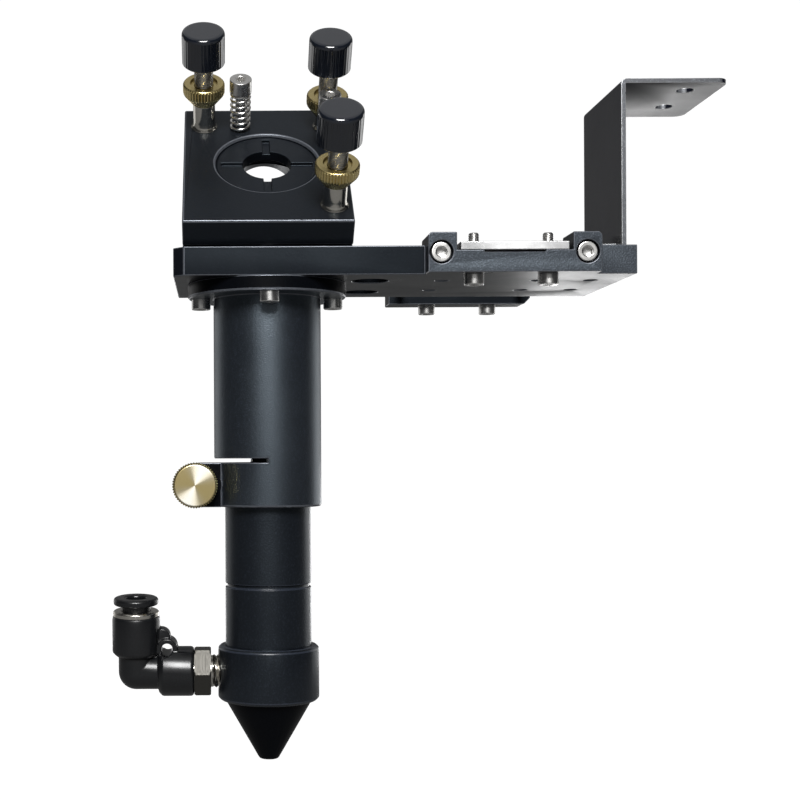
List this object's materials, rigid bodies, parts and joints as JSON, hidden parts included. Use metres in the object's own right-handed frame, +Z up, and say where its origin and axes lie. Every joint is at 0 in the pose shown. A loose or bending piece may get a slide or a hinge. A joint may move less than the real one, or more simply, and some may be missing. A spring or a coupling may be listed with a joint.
{
  "type": "laser cutting head",
  "caption": "Laser cutting head: a 45 degree adjustable mirror mount over a slit focusing tube and air nozzle, on a rail carriage plate with belt clamps and a cable bracket",
  "frame": {"origin": "Middle of the four rail carriage holes, on the carriage plate's underside", "axes": "+Z up, along the tubes away from the nozzle; +Y to the back, where the beam comes from; +X from the tubes to the cable bracket"},
  "size_m": [0.1728, 0.1124, 0.212],
  "materials": {
    "black_anodised": "satin bead-blasted, black anodised",
    "bright_aluminium": "milled, bare",
    "bracket_sheet": "semi-gloss black coat, bare cut edges",
    "screw_steel": "plain stainless",
    "nickel_plate": "nickel plated, turned",
    "spring_steel": "bright wire",
    "brass": "turned and knurled",
    "gloss_cap": "gloss black",
    "fitting_plastic": "satin black",
    "seal_rubber": "matt",
    "lens_glass": "polished"
  },
  "bodies": {
    "carriage": {"carriage_plate": "black_anodised", "belt_clamp_plate": "bright_aluminium", "belt_clamp_screws": "screw_steel", "cable_bracket": "bracket_sheet", "bracket_screws": "screw_steel", "outer_tube": "black_anodised", "flange_screws": "screw_steel", "mirror_block": "black_anodised", "block_screws": "screw_steel", "spring_screws": "nickel_plate", "plate_spring_1": "spring_steel", "plate_spring_2": "spring_steel"},
    "rear_clamp": {"rear_belt_block": "black_anodised", "rear_clamp_plate": "bright_aluminium", "rear_clamp_screws": "screw_steel"},
    "tension_left": {"tension_screw_left": "screw_steel"},
    "tension_right": {"tension_screw_right": "screw_steel"},
    "mirror_mount": {"mirror_plate": "black_anodised", "mirror_retainer": "black_anodised", "adjuster_bush_a": "nickel_plate", "adjuster_bush_b": "nickel_plate", "adjuster_bush_c": "nickel_plate"},
    "knob_stud": {"clamp_stud": "screw_steel"},
    "knob": {"clamp_knob": "brass"},
    "focus_tube": {"lens_tube_upper": "black_anodised"},
    "nozzle": {"lens_tube_lower": "black_anodised", "lens_gasket": "seal_rubber", "focus_lens": "lens_glass", "lens_retainer": "black_anodised", "nozzle_collar": "black_anodised", "nozzle_tip": "black_anodised", "fitting_stem": "nickel_plate"},
    "elbow": {"fitting_elbow": "fitting_plastic", "fitting_ring": "nickel_plate", "grab_ring": "screw_steel", "hose_seal": "seal_rubber"},
    "release": {"release_ring": "fitting_plastic"},
    "shaft_a": {"adjuster_screw_a": "nickel_plate"},
    "cap_a": {"adjuster_cap_a": "gloss_cap"},
    "nut_a": {"lock_nut_a": "brass"},
    "shaft_b": {"adjuster_screw_b": "nickel_plate"},
    "cap_b": {"adjuster_cap_b": "gloss_cap"},
    "nut_b": {"lock_nut_b": "brass"},
    "shaft_c": {"adjuster_screw_c": "nickel_plate"},
    "cap_c": {"adjuster_cap_c": "gloss_cap"},
    "nut_c": {"lock_nut_c": "brass"}
  },
  "joints": [
    {"name": "mirror_tilt", "type": "hinge", "parent": "carriage", "child": "mirror_mount", "pos_m": [-0.0635, 0.01155, 0.04212], "axis": [1, 0, 0], "range_deg": [-1.4, 0.7], "deforming": ["plate_spring_1", "plate_spring_2"]},
    {"name": "shaft_a_slide", "type": "slide", "parent": "mirror_mount", "child": "shaft_a", "axis": [0, -0.7071, 0.7071], "range_m": [0, 0.002]},
    {"name": "cap_a_turn", "type": "hinge", "parent": "shaft_a", "child": "cap_a", "pos_m": [-0.0816, -0.01277, 0.06645], "axis": [0, -0.7071, 0.7071], "range_deg": [0, 1440]},
    {"name": "nut_a_turn", "type": "hinge", "parent": "mirror_mount", "child": "nut_a", "pos_m": [-0.0816, -0.00315, 0.05683], "axis": [0, -0.7071, 0.7071], "range_deg": [0, 90]},
    {"name": "shaft_b_slide", "type": "slide", "parent": "mirror_mount", "child": "shaft_b", "axis": [0, -0.7071, 0.7071], "range_m": [0, 0.002]},
    {"name": "cap_b_turn", "type": "hinge", "parent": "shaft_b", "child": "cap_b", "pos_m": [-0.0454, -0.01277, 0.06645], "axis": [0, -0.7071, 0.7071], "range_deg": [0, 1440]},
    {"name": "nut_b_turn", "type": "hinge", "parent": "mirror_mount", "child": "nut_b", "pos_m": [-0.0454, -0.00315, 0.05683], "axis": [0, -0.7071, 0.7071], "range_deg": [0, 90]},
    {"name": "shaft_c_slide", "type": "slide", "parent": "mirror_mount", "child": "shaft_c", "axis": [0, -0.7071, 0.7071], "range_m": [-0.001, 0.0005]},
    {"name": "cap_c_turn", "type": "hinge", "parent": "shaft_c", "child": "cap_c", "pos_m": [-0.0454, -0.04176, 0.03746], "axis": [0, -0.7071, 0.7071], "range_deg": [-720, 360]},
    {"name": "nut_c_turn", "type": "hinge", "parent": "mirror_mount", "child": "nut_c", "pos_m": [-0.0454, -0.03215, 0.02784], "axis": [0, -0.7071, 0.7071], "range_deg": [0, 90]},
    {"name": "stud_slide", "type": "slide", "parent": "carriage", "child": "knob_stud", "axis": [0, -1, 0], "range_m": [0, 0.0014]},
    {"name": "knob_turn", "type": "hinge", "parent": "knob_stud", "child": "knob", "pos_m": [-0.0845, -0.01475, -0.05805], "axis": [0, -1, 0], "range_deg": [0, 720]},
    {"name": "tension_left_turn", "type": "hinge", "parent": "carriage", "child": "tension_left", "pos_m": [-0.01695, -0.02685, 0.0055], "axis": [0, -1, 0], "range_deg": [-8640, 2880]},
    {"name": "tension_right_turn", "type": "hinge", "parent": "carriage", "child": "tension_right", "pos_m": [0.02285, -0.02685, 0.0055], "axis": [0, -1, 0], "range_deg": [-8640, 2880]},
    {"name": "rear_clamp_slide", "type": "slide", "parent": "carriage", "child": "rear_clamp", "axis": [0, 1, 0], "range_m": [-0.012, 0.004]},
    {"name": "focus_slide", "type": "slide", "parent": "carriage", "child": "focus_tube", "axis": [0, 0, 1], "range_m": [-0.005, 0.036]},
    {"name": "nozzle_turn", "type": "hinge", "parent": "focus_tube", "child": "nozzle", "pos_m": [-0.0635, -0.00365, -0.0867], "axis": [0, 0, 1], "continuous": true},
    {"name": "elbow_swivel", "type": "hinge", "parent": "nozzle", "child": "elbow", "pos_m": [-0.0915, -0.00365, -0.1124], "axis": [1, 0, 0], "continuous": true},
    {"name": "release_press", "type": "slide", "parent": "elbow", "child": "release", "axis": [0, 0.0872, -0.9962], "range_m": [0, 0.0012], "stiffness_N_per_m": 1500}
  ],
  "couplings": [
    {"joint": "cap_a_turn", "follows": "shaft_a_slide", "rad_per_m": 12566},
    {"joint": "cap_b_turn", "follows": "shaft_b_slide", "rad_per_m": 12566},
    {"joint": "cap_c_turn", "follows": "shaft_c_slide", "rad_per_m": 12566},
    {"joint": "mirror_tilt", "follows": "shaft_c_slide", "rad_per_m": 24.39},
    {"joint": "knob_turn", "follows": "stud_slide", "rad_per_m": 8975.9},
    {"joint": "tension_left_turn", "follows": "rear_clamp_slide", "rad_per_m": 12566},
    {"joint": "tension_right_turn", "follows": "rear_clamp_slide", "rad_per_m": 12566}
  ]
}
